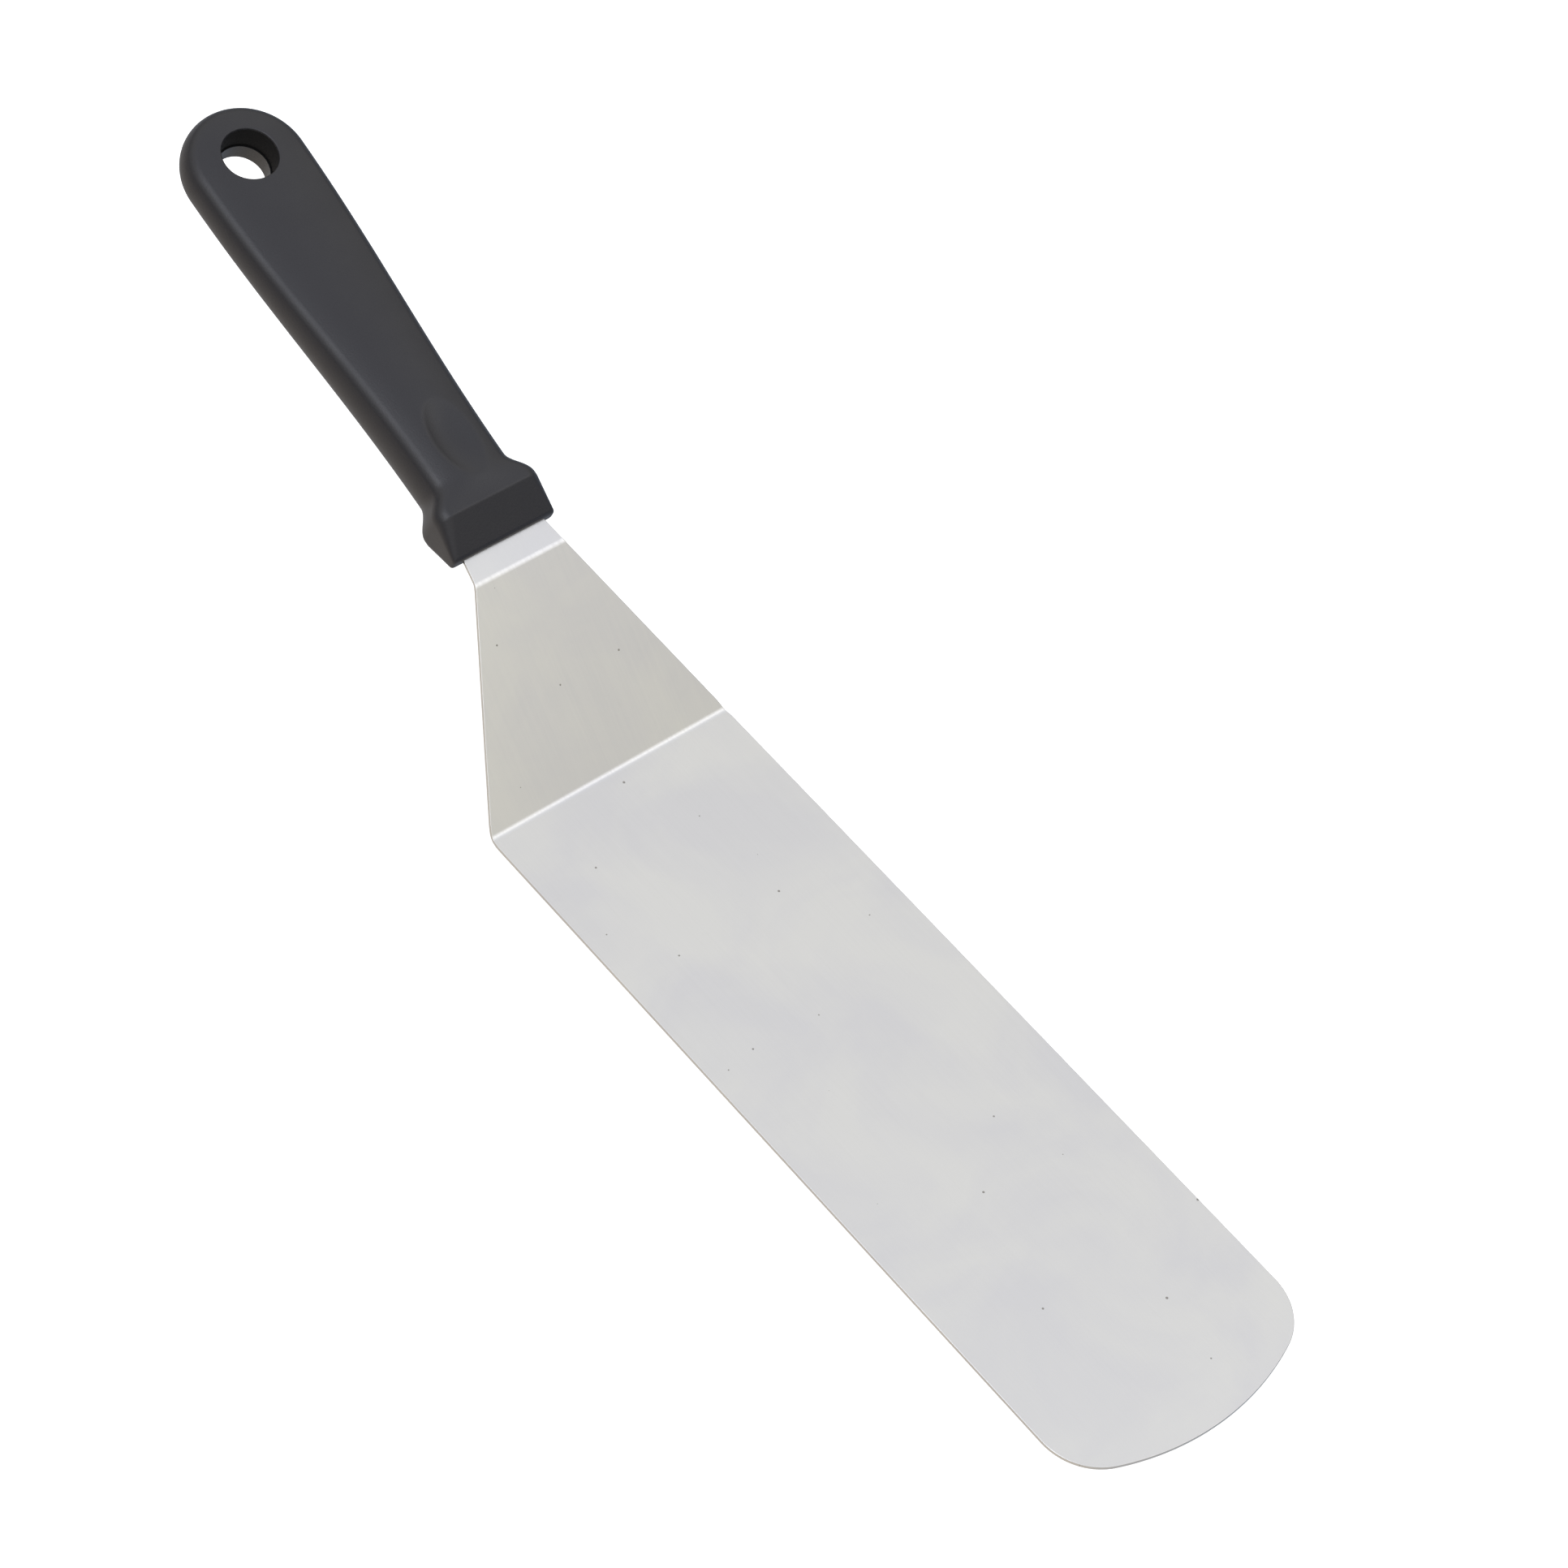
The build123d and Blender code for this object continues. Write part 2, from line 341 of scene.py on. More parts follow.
def bend_line(sheet):
    """The sheet's top line in side view, from the tip to the tang's end, as (point, heading)."""
    heel_x = blade_high.x - sheet.blade_length
    tang_end = handle_matrix(sheet) @ Vector((sheet.tang_length, 0, sheet.thickness / 2))
    corners = [
        (blade_high.x, sheet.thickness),
        (heel_x, sheet.thickness),
        upper_bend(sheet),
        (tang_end.x, tang_end.z),
    ]
    return rounded_path(corners, [sheet.bend_radius, sheet.bend_radius + sheet.thickness], steps=10)


def tip_outline(sheet):
    """Half of the blade's front, from the middle of the tip to the straight side."""
    half = sheet.blade_width / 2
    arc_centre = blade_high.x - sheet.tip_arc_radius
    corner_y = half - sheet.tip_corner_radius
    reach = sheet.tip_arc_radius - sheet.tip_corner_radius
    corner_x = arc_centre + math.sqrt(reach**2 - corner_y**2)
    meet = math.asin(corner_y / reach)
    front_steps, corner_steps = 20, 18
    front = [meet * i / front_steps for i in range(front_steps)]
    points = [(arc_centre + sheet.tip_arc_radius * math.cos(a), sheet.tip_arc_radius * math.sin(a))
              for a in front]
    for i in range(corner_steps + 1):
        a = meet + (math.pi / 2 - meet) * i / corner_steps
        points.append((corner_x + sheet.tip_corner_radius * math.cos(a),
                       corner_y + sheet.tip_corner_radius * math.sin(a)))
    return points


def sheet_outline(sheet):
    """The whole outline of the sheet from above, anticlockwise from the tip."""
    place = handle_matrix(sheet)
    half_neck = sheet.neck_rear_width / 2
    half_tang = sheet.tang_width / 2
    narrow = sheet.shoulder_length + half_neck - half_tang
    tip = tip_outline(sheet)
    corners = [
        tip[-1],
        (blade_high.x - sheet.blade_length, sheet.blade_width / 2),
        (upper_bend(sheet).x, sheet.neck_front_width / 2),
        ((place @ Vector((0, 0, 0))).x, half_neck),
        ((place @ Vector((sheet.shoulder_length, 0, 0))).x, half_neck),
        ((place @ Vector((narrow, 0, 0))).x, half_tang),
        ((place @ Vector((sheet.tang_length, 0, 0))).x, half_tang),
        ((place @ Vector((sheet.tang_length, 0, 0))).x, 0),
    ]
    slight = 0.2 * MM
    radii = [sheet.heel_corner_radius, sheet.neck_corner_radius, slight, sheet.tang_corner_radius,
             sheet.tang_corner_radius, sheet.tang_end_radius]
    side = [tuple(point) for point, _ in rounded_path(corners, radii, steps=12)]
    half = tip + side[1:]
    return half + [(x, -y) for x, y in reversed(half[1:-1])]


def flat_sheet(sheet):
    """The sheet before bending, as cut: its top is at height 0."""
    shape = bmesh.new()
    top = shape.faces.new([shape.verts.new((x, y, 0)) for x, y in sheet_outline(sheet)])
    below = bmesh.ops.extrude_face_region(shape, geom=[top])["geom"]
    moved = [v for v in below if isinstance(v, bmesh.types.BMVert)]
    bmesh.ops.translate(shape, verts=moved, vec=(0, 0, -sheet.thickness))
    bmesh.ops.recalc_face_normals(shape, faces=shape.faces)
    return shape


def tang_drills(sheet):
    """Pins that cut the tang's locking holes, in the flat sheet as seen from above."""
    place = handle_matrix(sheet)
    lean = hole_axis.normalized().z
    shape = bmesh.new()
    for i in range(sheet.hole_count):
        x = (place @ Vector((sheet.first_hole + i * sheet.hole_pitch, 0, 0))).x
        seat = Matrix.Translation((x, 0, 0)) @ Matrix.Diagonal((lean, 1, 1, 1))
        bmesh.ops.create_cone(
            shape, cap_ends=True, segments=40, radius1=sheet.tang_hole_radius,
            radius2=sheet.tang_hole_radius, depth=6 * sheet.thickness, matrix=seat,
        )
    return new_piece("tang_drills", shape, None)


def deburr(shape, sheet):
    """Rounds every edge of the flat sheet's two faces."""
    level = [e for e in shape.edges if abs(e.verts[0].co.z - e.verts[1].co.z) < CLOSE]
    rims = [e for e in level if len(e.link_faces) == 2 and e.calc_face_angle(0) > math.radians(60)]
    bmesh.ops.bevel(
        shape, geom=rims, offset=sheet.edge_round, offset_type="OFFSET", segments=4,
        profile=0.5, affect="EDGES", clamp_overlap=True,
    )


def bend_sheet(shape, sheet):
    """Folds the flat sheet along its bend line, and maps its length and width."""
    line = bend_line(sheet)
    for point, _ in line[1:-1]:
        geometry = list(shape.verts) + list(shape.edges) + list(shape.faces)
        bmesh.ops.bisect_plane(
            shape, geom=geometry, dist=WELD, plane_co=(point.x, 0, 0), plane_no=(1, 0, 0),
        )
    travelled = [0.0]
    for (a, _), (b, _) in zip(line, line[1:]):
        travelled.append(travelled[-1] + (b - a).length)
    layer = shape.loops.layers.uv.new("sheet")
    for vertex in shape.verts:
        x, y, depth = vertex.co
        i = max(k for k in range(len(line) - 1) if k == 0 or x <= line[k][0].x)
        (start, way_in), (end, way_out) = line[i], line[i + 1]
        share = (x - start.x) / (end.x - start.x)
        top = start.lerp(end, share)
        bending = (way_in - way_out).length > 1e-6
        heading = way_in.lerp(way_out, share) if bending else end - start
        up = -left_of(heading.normalized())
        along = travelled[i] + (travelled[i + 1] - travelled[i]) * share
        vertex.co = (top.x + up.x * depth, y, top.y + up.y * depth)
        for loop in vertex.link_loops:
            loop[layer].uv = (along, y)


# ---- grip ----


def ease(share):
    """A smooth step from 0 to 1."""
    return 0.5 - 0.5 * math.cos(math.pi * min(max(share, 0.0), 1.0))


def section_sizes(grip, station):
    """Half width, half thickness, corner radius and both crowns of the handle at a station."""
    flat = (grip.bolster_crown, grip.bolster_crown)
    full = (grip.crown, grip.side_crown)
    lip = (grip.lip_half_width, grip.lip_half_thickness, grip.lip_corner_radius, *flat)
    ridge = (grip.ridge_half_width, grip.ridge_half_thickness, grip.ridge_corner_radius, *flat)
    waist = (grip.waist_half_width, grip.waist_half_thickness, grip.waist_corner_radius, *full)
    tail = (grip.tail_half_width, grip.tail_half_thickness, grip.tail_corner_radius, *full)
    shoulder = grip.ridge_station + grip.shoulder_length
    waist_station = shoulder + grip.flare_length
    tail_station = grip.length - grip.tail_half_width
    if station < grip.ridge_station:
        start, end, share = lip, ridge, station / grip.ridge_station
    elif station < waist_station:
        start, end, share = ridge, waist, ease((station - shoulder) / grip.flare_length)
    else:
        start, end = waist, tail
        share = ease((station - waist_station) / (tail_station - waist_station))
    return [a + (b - a) * share for a, b in zip(start, end)]


def soft_sizes(grip, station):
    """The sizes at a station, with the ridge softened and the lip's rim rounded."""
    if abs(station - grip.ridge_station) < grip.ridge_softness:
        near = [section_sizes(grip, station + grip.ridge_softness * k / 4) for k in range(-4, 5)]
        sizes = [sum(column) / len(column) for column in zip(*near)]
    else:
        sizes = section_sizes(grip, station)
    rise = max(grip.lip_round - station, 0.0)
    inset = grip.lip_round - math.sqrt(grip.lip_round**2 - rise**2)
    return sizes[0] - inset, sizes[1] - inset, max(sizes[2] - inset, 0.3 * MM), *sizes[3:]


def corner_centre(half_width, half_thickness, corner, top_radius, side_radius):
    """Centre of the corner arc that lies inside the top arc and the side arc and touches both."""
    top = Vector((0, half_thickness - top_radius))
    side = Vector((half_width - side_radius, 0))
    reach_top, reach_side = top_radius - corner, side_radius - corner
    gap = (side - top).length
    along = (reach_top**2 - reach_side**2 + gap**2) / (2 * gap)
    across = math.sqrt(reach_top**2 - along**2)
    way = (side - top) / gap
    foot = top + way * along
    return max((foot + left_of(way) * across, foot - left_of(way) * across), key=sum)


# Points along the top, the corner and the side of a quarter section.
TOP_STEPS, CORNER_STEPS, SIDE_STEPS = 12, 12, 5


def quarter_section(half_width, half_thickness, corner, crown, side_crown):
    """One quarter of a section as (y, z) points, from the middle of the top to the side's."""
    top_radius = ((half_width - side_crown) ** 2 + crown**2) / (2 * crown)
    side_radius = ((half_thickness - crown) ** 2 + side_crown**2) / (2 * side_crown)
    centre = corner_centre(half_width, half_thickness, corner, top_radius, side_radius)
    top_turn = math.atan2(centre.x, centre.y - half_thickness + top_radius)
    side_turn = math.atan2(centre.y, centre.x - half_width + side_radius)
    points = []
    for i in range(TOP_STEPS):
        a = top_turn * i / TOP_STEPS
        points.append((top_radius * math.sin(a), half_thickness - top_radius + top_radius * math.cos(a)))
    for i in range(CORNER_STEPS):
        a = top_turn + (math.pi / 2 - side_turn - top_turn) * i / CORNER_STEPS
        points.append((centre.x + corner * math.sin(a), centre.y + corner * math.cos(a)))
    for i in range(SIDE_STEPS + 1):
        a = side_turn * (1 - i / SIDE_STEPS)
        points.append((half_width - side_radius + side_radius * math.cos(a), side_radius * math.sin(a)))
    return points


def quarter_box(half_width, half_thickness):
    """One quarter of a sharp rectangle, with as many points as a quarter of a section."""
    across = TOP_STEPS + CORNER_STEPS
    points = [(half_width * i / across, half_thickness) for i in range(across)]
    points += [(half_width, half_thickness * (1 - i / SIDE_STEPS)) for i in range(SIDE_STEPS + 1)]
    return points


def whole_loop(quarter):
    """A closed loop of (y, z) points from a quarter, mirrored to all four."""
    right = quarter + [(y, -z) for y, z in reversed(quarter[:-1])]
    return right + [(-y, z) for y, z in reversed(right[1:-1])]


def grip_stations(grip):
    """Stations of the sections, close together where the form changes quickly.

    Each mark is a stretch's start, its end and how many sections it has.
    """
    shoulder = grip.ridge_station + grip.shoulder_length
    waist = shoulder + grip.flare_length
    dimple_end = grip.dimple_station + grip.dimple_half_length + 2 * MM
    tail = grip.length - grip.tail_half_width
    marks = [
        (0.0, grip.lip_round, 6),
        (grip.lip_round, grip.ridge_station - grip.ridge_softness, 8),
        (grip.ridge_station - grip.ridge_softness, grip.ridge_station + grip.ridge_softness, 6),
        (grip.ridge_station + grip.ridge_softness, shoulder, 2),
        (shoulder, waist, 14),
        (waist, dimple_end, 44),
        (dimple_end, tail, 40),
    ]
    stations = [a + (b - a) * i / count for a, b, count in marks for i in range(count)]
    return stations + [tail]


def dimple_drop(grip, station, y, height):
    """How far the thumb dimple lowers a point of the top face."""
    along = (station - grip.dimple_station) / grip.dimple_half_length
    across = (y - grip.dimple_side) / grip.dimple_half_width
    reach = math.sqrt(along**2 + across**2)
    limit = 1.25
    if height < 0 or reach >= limit:
        return 0.0
    bowl = grip.dimple_depth * (1 - reach**2) * (1 - grip.dimple_lean * across)
    blend = 0.07 * MM
    return 0.5 * (bowl + math.sqrt(bowl**2 + blend**2)) * ease((limit - reach) / (limit - 1))


def grip_loops(grip):
    """The outside of the grip as loops of (station, y, height), from the lip to the tail."""
    loops = []
    for station in grip_stations(grip):
        section = whole_loop(quarter_section(*soft_sizes(grip, station)))
        loops.append([(station, y, z - dimple_drop(grip, station, y, z)) for y, z in section])
    tail = grip.length - grip.tail_half_width
    section = whole_loop(quarter_section(*section_sizes(grip, tail)))
    turns = 28
    for i in range(1, turns + 1):
        a = math.pi / 2 * i / turns
        loops.append([(tail + abs(y) * math.sin(a), y * math.cos(a), z) for y, z in section])
    return loops


def cavity_loops(grip, sheet):
    """The space inside the grip for the sheet and the core, from the far end to the lip."""
    half_sheet = sheet.thickness / 2
    half_neck, half_tang = sheet.neck_rear_width / 2, sheet.tang_width / 2
    core_start = sheet.shoulder_length + half_neck - half_tang
    sizes = [
        (grip.core_end, grip.core_half_width, grip.core_half_thickness),
        (core_start, grip.core_half_width, grip.core_half_thickness),
        (core_start, half_tang, half_sheet),
        (sheet.shoulder_length, half_neck, half_sheet),
        (0.0, half_neck, half_sheet),
    ]
    return [[(s, y, z) for y, z in whole_loop(quarter_box(w, t))] for s, w, t in sizes]


def skin(loops):
    """A closed surface over the loops: the first is capped, and the last folds flat onto itself."""
    shape = bmesh.new()
    rings = [[shape.verts.new(point) for point in loop] for loop in loops]
    for near, far in zip(rings, rings[1:]):
        for i in range(len(near)):
            j = (i + 1) % len(near)
            shape.faces.new((near[i], near[j], far[j], far[i]))
    shape.faces.new(rings[0])
    bmesh.ops.remove_doubles(shape, verts=rings[-1], dist=WELD)
    bmesh.ops.dissolve_degenerate(shape, edges=shape.edges, dist=WELD / 10)
    bmesh.ops.recalc_face_normals(shape, faces=shape.faces)
    return shape


def hole_station(sheet):
    """Station of the hanging hole, from its mount."""
    return (handle_matrix(sheet).inverted() @ Vector(throat["pos_m"])).x


def hole_core(grip, sheet):
    """A pin that cuts the hanging hole out to its rims' outer edge, and the pin's radius."""
    shape = bmesh.new()
    radius = grip.hole_entry_radius + grip.rim_round
    bmesh.ops.create_cone(
        shape, cap_ends=True, segments=96, radius1=radius, radius2=radius,
        depth=4 * grip.tail_half_thickness, matrix=Matrix.Translation((hole_station(sheet), 0, 0)),
    )
    return new_piece("hole_core", shape, None), radius


def throat_top(sheet):
    """Height of the ledge between the two bores, in the handle's frame."""
    middle = (handle_matrix(sheet).inverted() @ Vector(throat["pos_m"])).z
    return middle + throat["dims"]["length_mm"] * MM / 2


def extrude_ring(shape, ring):
    """Extrudes a ring of edges, and returns the new ring and its corners."""
    new = bmesh.ops.extrude_edge_only(shape, edges=ring)["geom"]
    ring = [part for part in new if isinstance(part, bmesh.types.BMEdge)]
    return ring, {corner for edge in ring for corner in edge.verts}


def hole_wall(shape, grip, sheet, cut_radius):
    """Replaces the plain cut of the hanging hole with rounded rims, two bores and a ledge."""
    axis = Vector((hole_station(sheet), 0, 0))
    wall = [f for f in shape.faces
            if all(abs((v.co - axis).xy.length - cut_radius) < 2 * CLOSE for v in f.verts)]
    bmesh.ops.delete(shape, geom=wall, context="FACES")
    rim_edges = [e for e in shape.edges if e.is_boundary]
    ledge = throat_top(sheet)
    rim_steps = 6
    ledge_rings = []
    for up, radius in ((1, grip.hole_entry_radius), (-1, throat["dims"]["r_mm"] * MM)):
        ring = [e for e in rim_edges if e.verts[0].co.z * up > 0]
        for i in range(1, rim_steps + 1):
            before = math.pi / 2 * (i - 1) / rim_steps
            turn = math.pi / 2 * i / rim_steps
            reach = radius + (cut_radius - radius) * (1 - math.sin(turn))
            drop = grip.rim_round * (math.cos(before) - math.cos(turn))
            ring, corners = extrude_ring(shape, ring)
            for corner in corners:
                away = (corner.co - axis).xy.normalized()
                height = corner.co.z - up * drop
                corner.co = (axis.x + away.x * reach, away.y * reach, height)
        ring, corners = extrude_ring(shape, ring)
        for corner in corners:
            away = (corner.co - axis).xy.normalized()
            corner.co = (axis.x + away.x * radius, away.y * radius, ledge)
        ledge_rings += ring
    bmesh.ops.bridge_loops(shape, edges=ledge_rings)
    bmesh.ops.recalc_face_normals(shape, faces=shape.faces)
    widest = grip.hole_entry_radius + CLOSE
    lowest = ledge - CLOSE
    for face in shape.faces:
        if all((v.co - axis).xy.length < widest and v.co.z > lowest for v in face.verts):
            face.material_index = 1  # the plastic with painted shade, for the hole's upper stretch


# ---- materials ----


def add_fade(tree, value, start, end, before, after):
    """A colour that goes from one to another as a value goes from start to end."""
    share = add_node(tree, "ShaderNodeMapRange", {"Value": value, "From Min": start, "From Max": end})
    return add_node(tree, "ShaderNodeMix", {
        "Factor": share.outputs["Result"], "A": before, "B": after,
    }, data_type="RGBA").outputs["Result"]


def add_specks(tree, coordinates, spacing, radius, dimensions):
    """A mask of a few small round specks, at random places about the spacing apart."""
    cells = add_node(tree, "ShaderNodeTexVoronoi", {
        "Vector": coordinates, "Scale": 1 / spacing,
    }, voronoi_dimensions=dimensions)
    pick = add_node(tree, "ShaderNodeSeparateColor", {"Color": cells.outputs["Color"]}).outputs["Red"]
    size = add_node(tree, "ShaderNodeMapRange", {
        "Value": pick, "From Min": 0.6, "From Max": 1.0, "To Max": radius / spacing,
    }).outputs["Result"]
    return add_node(tree, "ShaderNodeMath", {0: cells.outputs["Distance"], 1: size},
                    operation="LESS_THAN").outputs["Value"]


def brushed_stainless(sheet):
    """Cold-rolled stainless, brushed along its length: a soft satin mirror with a faint grain.

    Real brushed streaks are about 0.05 mm wide. They are drawn ten times wider, because they
    would be too fine to show.
    """
    material, tree, output = new_material("brushed_stainless")
    coordinates = add_node(tree, "ShaderNodeUVMap", uv_map="sheet").outputs["UV"]
    streak_scale = (1 / sheet.grain_length, 1 / sheet.grain_width, 1.0)
    along_grain = add_node(tree, "ShaderNodeMapping", {"Vector": coordinates, "Scale": streak_scale})
    streaks = add_node(tree, "ShaderNodeTexNoise", {
        "Vector": along_grain.outputs["Vector"], "Scale": 1.0, "Detail": 3.0, "Roughness": 0.6,
    }, noise_dimensions="2D")
    clouds = add_node(tree, "ShaderNodeTexNoise", {
        "Vector": coordinates, "Scale": 1 / sheet.cloud_size, "Detail": 4.0, "Roughness": 0.55,
        "Distortion": 0.4,
    }, noise_dimensions="2D")
    tone = add_fade(tree, clouds.outputs["Fac"], 0.35, 0.65, sheet.steel, sheet.bloom)
    pits = add_specks(tree, coordinates, sheet.speck_spacing, sheet.speck_radius, "2D")
    pitted = add_node(tree, "ShaderNodeMix", {
        "Factor": pits, "A": tone, "B": sheet.speck,
    }, data_type="RGBA")
    roughness = add_node(tree, "ShaderNodeMapRange", {
        "Value": streaks.outputs["Fac"], **NOISE_RANGE, "To Min": 0.30, "To Max": 0.40,
    })
    bump = add_node(tree, "ShaderNodeBump", {
        "Height": streaks.outputs["Fac"], "Strength": 0.25, "Distance": 0.02 * MM,
    })
    across = add_node(tree, "ShaderNodeTangent", direction_type="UV_MAP", uv_map="sheet")
    shader = add_node(tree, "ShaderNodeBsdfPrincipled", {
        "Base Color": pitted.outputs["Result"], "Metallic": 1.0,
        "Roughness": roughness.outputs["Result"], "Anisotropic": 0.4, "Anisotropic Rotation": 0.25,
        "Tangent": across.outputs["Tangent"], "Normal": bump.outputs["Normal"],
    })
    tree.links.new(shader.outputs["BSDF"], output.inputs["Surface"])
    return material


def moulded_polypropylene(grip):
    """Polypropylene from a spark-eroded mould: deep black with a fine, soft-edged matt texture.

    Real spark-eroded grit is about 0.1 mm across. It is drawn coarser, because it would be too
    fine to show.
    """
    material, tree, output = new_material("moulded_polypropylene")
    coordinates = add_node(tree, "ShaderNodeTexCoord").outputs["Object"]
    grit = add_node(tree, "ShaderNodeTexNoise", {
        "Vector": coordinates, "Scale": 1 / grip.grit_size, "Detail": 2.0, "Roughness": 0.6,
    })
    rubbed = add_node(tree, "ShaderNodeTexNoise", {
        "Vector": coordinates, "Scale": 1 / grip.scuff_size, "Detail": 5.0, "Roughness": 0.6,
    })
    tone = add_fade(tree, rubbed.outputs["Fac"], 0.4, 0.7, grip.plastic, grip.scuff)
    specks = add_specks(tree, coordinates, grip.lint_spacing, grip.lint_radius, "3D")
    dusty = add_node(tree, "ShaderNodeMix", {
        "Factor": specks, "A": tone, "B": grip.lint,
    }, data_type="RGBA")
    roughness = add_node(tree, "ShaderNodeMapRange", {
        "Value": rubbed.outputs["Fac"], **NOISE_RANGE, "To Min": 0.46, "To Max": 0.40,
    })
    bump = add_node(tree, "ShaderNodeBump", {
        "Height": grit.outputs["Fac"], "Strength": 0.8, "Distance": 0.05 * MM,
    })
    shader = add_node(tree, "ShaderNodeBsdfPrincipled", {
        "Base Color": dusty.outputs["Result"], "Roughness": roughness.outputs["Result"], "IOR": 1.49,
        "Normal": bump.outputs["Normal"],
    })
    tree.links.new(shader.outputs["BSDF"], output.inputs["Surface"])
    return material


def painted_shade_plastic(grip):
    """The same plastic in the hole's upper stretch, rough and dull, with painted shade: its darker
    colour stands in for the shade inside the hole.
    """
    material, tree, output = new_material("painted_shade_plastic")
    coordinates = add_node(tree, "ShaderNodeTexCoord").outputs["Object"]
    grit = add_node(tree, "ShaderNodeTexNoise", {
        "Vector": coordinates, "Scale": 1 / grip.grit_size, "Detail": 3.0, "Roughness": 0.7,
    })
    roughness = add_node(tree, "ShaderNodeMapRange", {
        "Value": grit.outputs["Fac"], **NOISE_RANGE, "To Min": 0.70, "To Max": 0.80,
    })
    bump = add_node(tree, "ShaderNodeBump", {
        "Height": grit.outputs["Fac"], "Strength": 0.6, "Distance": 0.04 * MM,
    })
    # Painted shade: the darker base colour and the low specular level stand in for the shade inside the
    # hole.
    shader = add_node(tree, "ShaderNodeBsdfPrincipled", {
        "Base Color": grip.painted_bore_shade, "Roughness": roughness.outputs["Result"], "IOR": 1.49,
        "Specular IOR Level": 0.2, "Normal": bump.outputs["Normal"],
    })
    tree.links.new(shader.outputs["BSDF"], output.inputs["Surface"])
    return material


def lit_table(stage):
    """Opal acrylic of a light table, lit faintly from below so that shadows hardly show."""
    material, tree, output = new_material("opal_acrylic")
    shader = add_node(tree, "ShaderNodeBsdfPrincipled", {
        "Base Color": stage.floor, "Roughness": 0.9, "Specular IOR Level": 0.0,
        "Emission Color": stage.floor, "Emission Strength": stage.floor_glow,
    })
    tree.links.new(shader.outputs["BSDF"], output.inputs["Surface"])
    return material


def studio_sky(stage):
    """A pale room, with its height given from 0 at the horizon to 1 straight overhead."""
    world = bpy.data.worlds.new("studio")
    world.use_nodes = True
    tree = world.node_tree
    tree.nodes.clear()
    direction = add_node(tree, "ShaderNodeTexCoord").outputs["Generated"]
    axes = add_node(tree, "ShaderNodeSeparateXYZ", {"Vector": direction}).outputs
    height = axes["Z"]
    low = add_fade(tree, height, 0.1, 0.5, stage.skirting, stage.walls)
    high = add_fade(tree, height, 0.5, 0.95, low, stage.ceiling)
    overhead = add_fade(tree, height, 0.93, 0.99, high, stage.ceiling_middle)
    ground = add_fade(tree, axes["Y"], -0.6, 0.6, stage.near_ground, stage.far_ground)
    room = add_fade(tree, height, -0.08, 0.08, ground, overhead)
    light = add_node(tree, "ShaderNodeBackground", {"Color": room, "Strength": stage.room})
    output = add_node(tree, "ShaderNodeOutputWorld")
    tree.links.new(light.outputs["Background"], output.inputs["Surface"])
    return world


# ---- operators ----


class SPATULA_OT_sheet(bpy.types.Operator):
    """Cuts, deburrs and bends the steel sheet: blade, riser, neck and tang"""

    bl_idname = "spatula.sheet"
    bl_label = "Bend the steel sheet"

    def execute(self, context):
        sheet = context.scene.spatula_sheet
        blank = new_piece("steel_blade", flat_sheet(sheet), brushed_stainless(sheet))
        if sheet.hole_count:
            cut_away(blank, tang_drills(sheet))
        shape = bmesh.new()
        shape.from_mesh(blank.data)
        deburr(shape, sheet)
        bend_sheet(shape, sheet)
        shape.to_mesh(blank.data)
        shape.free()
        blank.data.shade_smooth()
        even_normals(blank, sharp_degrees=50)
        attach(blank, "root")
        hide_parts("blade")
        return {"FINISHED"}


class SPATULA_OT_grip(bpy.types.Operator):
    """Moulds the handle's outer grip, with its thumb dimple and hanging hole"""

    bl_idname = "spatula.grip"
    bl_label = "Mould the grip"

    def execute(self, context):
        sheet = context.scene.spatula_sheet
        grip = context.scene.spatula_grip
        body = skin(cavity_loops(grip, sheet) + grip_loops(grip))
        piece = new_piece("moulded_grip", body, moulded_polypropylene(grip))
        # Second slot: the plastic with painted shade, for the hanging hole's upper stretch.
        piece.data.materials.append(painted_shade_plastic(grip))
        pin, cut_radius = hole_core(grip, sheet)
        cut_away(piece, pin)
        shape = bmesh.new()
        shape.from_mesh(piece.data)
        hole_wall(shape, grip, sheet, cut_radius)
        shape.transform(handle_matrix(sheet))
        bmesh.ops.recalc_face_normals(shape, faces=shape.faces)
        shape.to_mesh(piece.data)
        shape.free()
        piece.data.shade_smooth()
        even_normals(piece, sharp_degrees=40)
        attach(piece, "root")
        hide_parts("handle_grip")
        return {"FINISHED"}


class SPATULA_OT_core(bpy.types.Operator):
    """Gives the hidden first moulding inside the handle its plastic"""

    bl_idname = "spatula.core"
    bl_label = "Finish the core"

    def execute(self, context):
        core = frame["nodes"]["handle_core"]
        plastic = bpy.data.materials.get("moulded_polypropylene")
        if plastic is None:
            raise RuntimeError("mould the grip first, because the core shares its plastic")
        core.data.materials.clear()
        core.data.materials.append(plastic)
        return {"FINISHED"}


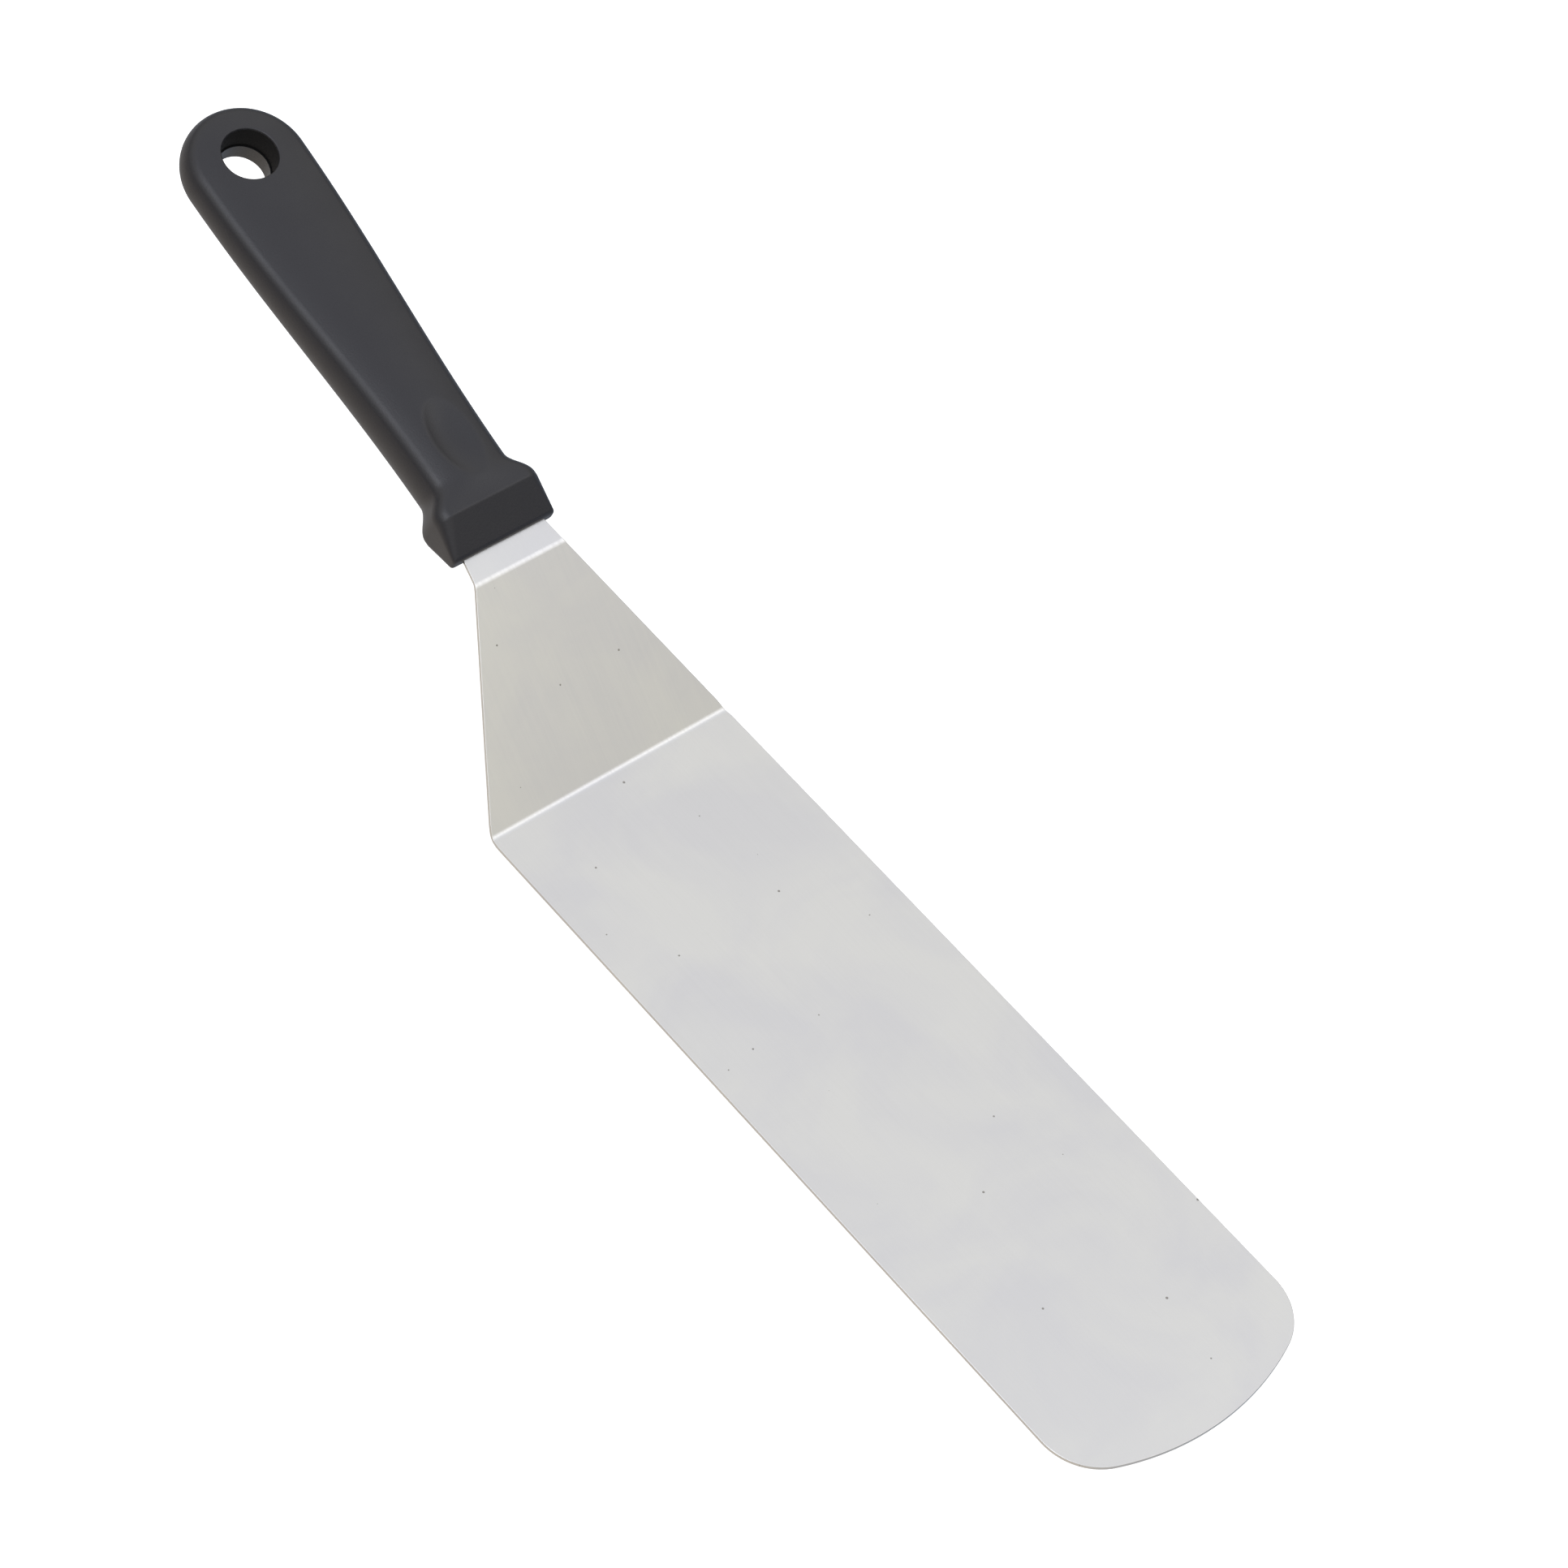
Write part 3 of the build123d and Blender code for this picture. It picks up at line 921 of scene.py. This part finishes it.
class SPATULA_OT_stage(bpy.types.Operator):
    """Sets up the pale floor and backdrop, the soft lights and the camera"""

    bl_idname = "spatula.stage"
    bl_label = "Set up the studio"

    def execute(self, context):
        stage = context.scene.spatula_stage
        scene = context.scene
        shape = bmesh.new()
        bmesh.ops.create_grid(shape, x_segments=8, y_segments=8, size=stage.floor_size / 2)
        floor = new_piece("floor", shape, lit_table(stage))
        floor.location.z = -stage.floor_drop
        floor.visible_glossy = False
        self.add_backdrop(stage, floor.data.materials[0])
        scene.world = studio_sky(stage)
        self.add_light(
            scene, "key_softbox", stage.key_power, stage.key_size, stage.key_place, stage.key_tint)
        self.add_light(
            scene, "top_softbox", stage.top_power, stage.top_size, stage.top_place, stage.top_tint)
        self.add_camera(scene, stage)
        scene.view_settings.view_transform = "Standard"
        return {"FINISHED"}

    def add_backdrop(self, stage, material):
        """Adds a round wall at the floor's edge, which the camera sees and light ignores."""
        radius = stage.floor_size / 2
        shape = bmesh.new()
        bmesh.ops.create_cone(
            shape, cap_ends=False, segments=96, radius1=radius, radius2=radius, depth=2 * radius,
        )
        bmesh.ops.reverse_faces(shape, faces=shape.faces)
        wall = new_piece("backdrop", shape, material)
        wall.visible_diffuse = False
        wall.visible_glossy = False
        wall.visible_shadow = False

    def add_light(self, scene, name, power, size, place, tint):
        """Adds a square softbox that faces the floor under the middle of the sheet."""
        lamp = bpy.data.lights.new(name, "AREA")
        lamp.energy = power
        lamp.size = size
        lamp.color = tint[:3]
        light = bpy.data.objects.new(name, lamp)
        light.location = place
        target = Vector((blade_low.x + blade_high.x, 0, 0)) / 2
        light.rotation_mode = "QUATERNION"
        light.rotation_quaternion = (target - light.location).to_track_quat("-Z", "Y")
        scene.collection.objects.link(light)

    def add_camera(self, scene, stage):
        """Adds the camera at its angle, distance and roll from the aim point."""
        out = math.cos(stage.elevation)
        back = Vector((math.sin(stage.azimuth) * out, -math.cos(stage.azimuth) * out,
                       math.sin(stage.elevation)))
        data = bpy.data.cameras.new("camera")
        data.lens = stage.lens
        camera = bpy.data.objects.new("camera", data)
        camera.location = Vector(stage.aim) + back * stage.camera_distance
        camera.rotation_mode = "QUATERNION"
        level = (-back).to_track_quat("-Z", "Y")
        camera.rotation_quaternion = level @ Quaternion((0, 0, 1), stage.roll)
        scene.collection.objects.link(camera)
        scene.camera = camera


class SPATULA_PT_panel(bpy.types.Panel):
    """Lists the spatula's pieces and their settings"""

    bl_idname = "SPATULA_PT_panel"
    bl_label = "Offset Spatula"
    bl_space_type = "VIEW_3D"
    bl_region_type = "UI"
    bl_category = "Spatula"

    def draw(self, context):
        for operator, settings in STEPS:
            box = self.layout.box()
            box.operator(operator.bl_idname)
            group = getattr(context.scene, settings)
            for name in group.__annotations__:
                box.prop(group, name)


GROUPS = {
    "spatula_sheet": SheetSettings,
    "spatula_grip": GripSettings,
    "spatula_stage": StageSettings,
}
STEPS = (
    (SPATULA_OT_sheet, "spatula_sheet"),
    (SPATULA_OT_grip, "spatula_grip"),
    (SPATULA_OT_core, "spatula_grip"),
    (SPATULA_OT_stage, "spatula_stage"),
)
OPERATORS = [operator for operator, _ in STEPS]


def register():
    """Registers the classes and the scene's settings."""
    for cls in (*GROUPS.values(), *OPERATORS, SPATULA_PT_panel):
        bpy.utils.register_class(cls)
    for name, group in GROUPS.items():
        setattr(bpy.types.Scene, name, PointerProperty(type=group))


def unregister():
    """Removes the scene's settings and the classes."""
    for name in GROUPS:
        delattr(bpy.types.Scene, name)
    for cls in (SPATULA_PT_panel, *reversed(OPERATORS), *reversed(GROUPS.values())):
        bpy.utils.unregister_class(cls)


def main():
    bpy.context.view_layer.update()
    register()
    bpy.ops.spatula.sheet()
    bpy.ops.spatula.grip()
    bpy.ops.spatula.core()
    bpy.ops.spatula.stage()


if __name__ == "__main__":
    main()
